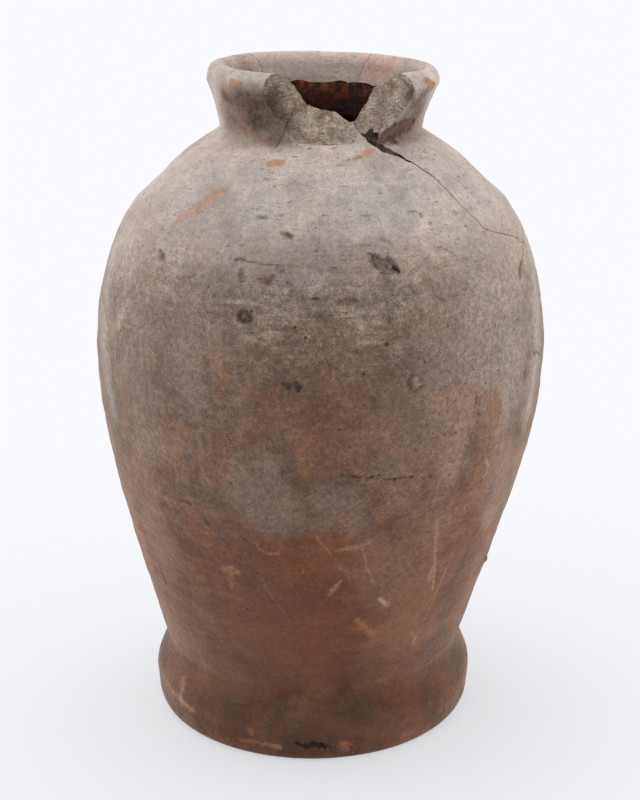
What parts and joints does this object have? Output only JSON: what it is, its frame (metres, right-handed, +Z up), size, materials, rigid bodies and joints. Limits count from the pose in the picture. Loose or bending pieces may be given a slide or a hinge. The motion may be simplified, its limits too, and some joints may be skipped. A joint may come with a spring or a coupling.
{
  "type": "sugar pot",
  "caption": "Tall thrown clay jar with a flared foot, high belly and short neck, glazed inside, with a broken and partly refitted neck.",
  "frame": {"origin": "on the ground, at the middle of the jar's outline seen from above, under the axis of the belly", "axes": "+Z up along the jar, -Y towards the lost piece of the neck, +X towards the large refitted sherd"},
  "size_m": [0.2428, 0.2428, 0.3611],
  "materials": {
    "body_clay": "unglazed, matt, stained grey above and orange-brown below",
    "right_sherd_clay": "unglazed, matt, warm grey",
    "back_sherd_clay": "unglazed, matt, warm grey",
    "left_sherd_clay": "unglazed, matt, warm grey",
    "inner_glaze": "glossy dark red-brown glaze"
  },
  "bodies": {
    "root": {"pot_body": "body_clay", "right_shoulder_sherd": "right_sherd_clay", "back_neck_sherd": "back_sherd_clay", "left_neck_sherd": "left_sherd_clay", "body_glaze": "inner_glaze", "right_sherd_glaze": "inner_glaze", "back_sherd_glaze": "inner_glaze", "left_sherd_glaze": "inner_glaze"}
  },
  "joints": []
}
